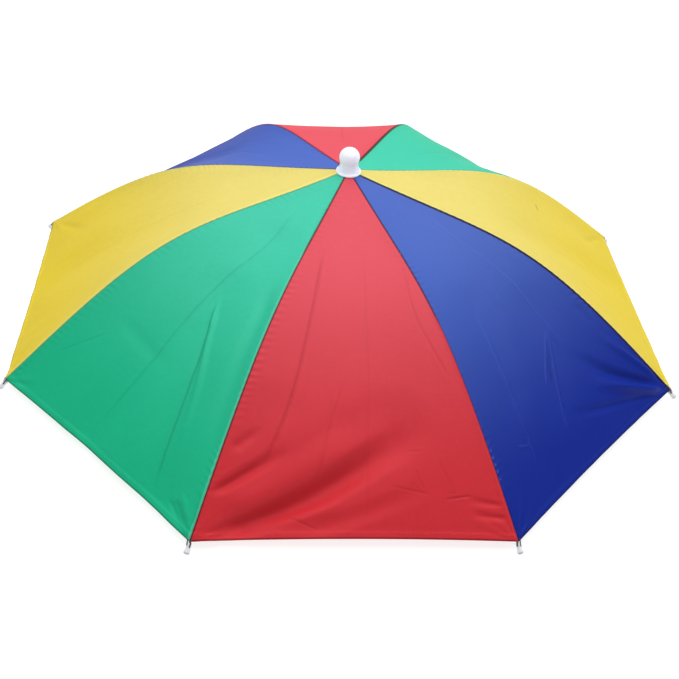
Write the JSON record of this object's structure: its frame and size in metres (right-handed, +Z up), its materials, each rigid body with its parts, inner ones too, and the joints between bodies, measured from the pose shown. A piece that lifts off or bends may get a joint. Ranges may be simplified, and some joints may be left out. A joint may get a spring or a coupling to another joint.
{
  "type": "umbrella hat",
  "caption": "Small open umbrella worn as a hat: an eight-sided canopy of coloured cloth gores on wire ribs, held over the head by struts and an elastic headband.",
  "frame": {"origin": "middle of the outline, on the surface that the rib tips stand on", "axes": "+Z up through the finial; the front of the hat faces -Y"},
  "size_m": [0.6488, 0.6428, 0.1822],
  "materials": {
    "red_cloth": "thin plain-woven cloth, slight sheen",
    "blue_cloth": "thin plain-woven cloth, slight sheen",
    "yellow_cloth": "thin plain-woven cloth, slight sheen",
    "green_cloth": "thin plain-woven cloth, slight sheen",
    "white_plastic": "smooth white, semi-gloss",
    "black_elastic": "ribbed elastic webbing",
    "rib_steel": "drawn steel wire"
  },
  "bodies": {
    "root": {"finial": "white_plastic", "hub": "white_plastic", "headband": "black_elastic", "gore_front": "red_cloth", "gore_front_right": "blue_cloth", "gore_right": "yellow_cloth", "gore_back_right": "green_cloth", "gore_back": "red_cloth", "gore_back_left": "blue_cloth", "gore_left": "yellow_cloth", "gore_front_left": "green_cloth", "rib_front_left": "rib_steel", "rib_front_right": "rib_steel", "rib_right_front": "rib_steel", "rib_right_back": "rib_steel", "rib_back_right": "rib_steel", "rib_back_left": "rib_steel", "rib_left_back": "rib_steel", "rib_left_front": "rib_steel", "tip_cap_front_left": "white_plastic", "tip_cap_front_right": "white_plastic", "tip_cap_right_front": "white_plastic", "tip_cap_right_back": "white_plastic", "tip_cap_back_right": "white_plastic", "tip_cap_back_left": "white_plastic", "tip_cap_left_back": "white_plastic", "tip_cap_left_front": "white_plastic", "strut_front_left": "rib_steel", "strut_front_right": "rib_steel", "strut_right_front": "rib_steel", "strut_right_back": "rib_steel", "strut_back_right": "rib_steel", "strut_back_left": "rib_steel", "strut_left_back": "rib_steel", "strut_left_front": "rib_steel"}
  },
  "joints": []
}
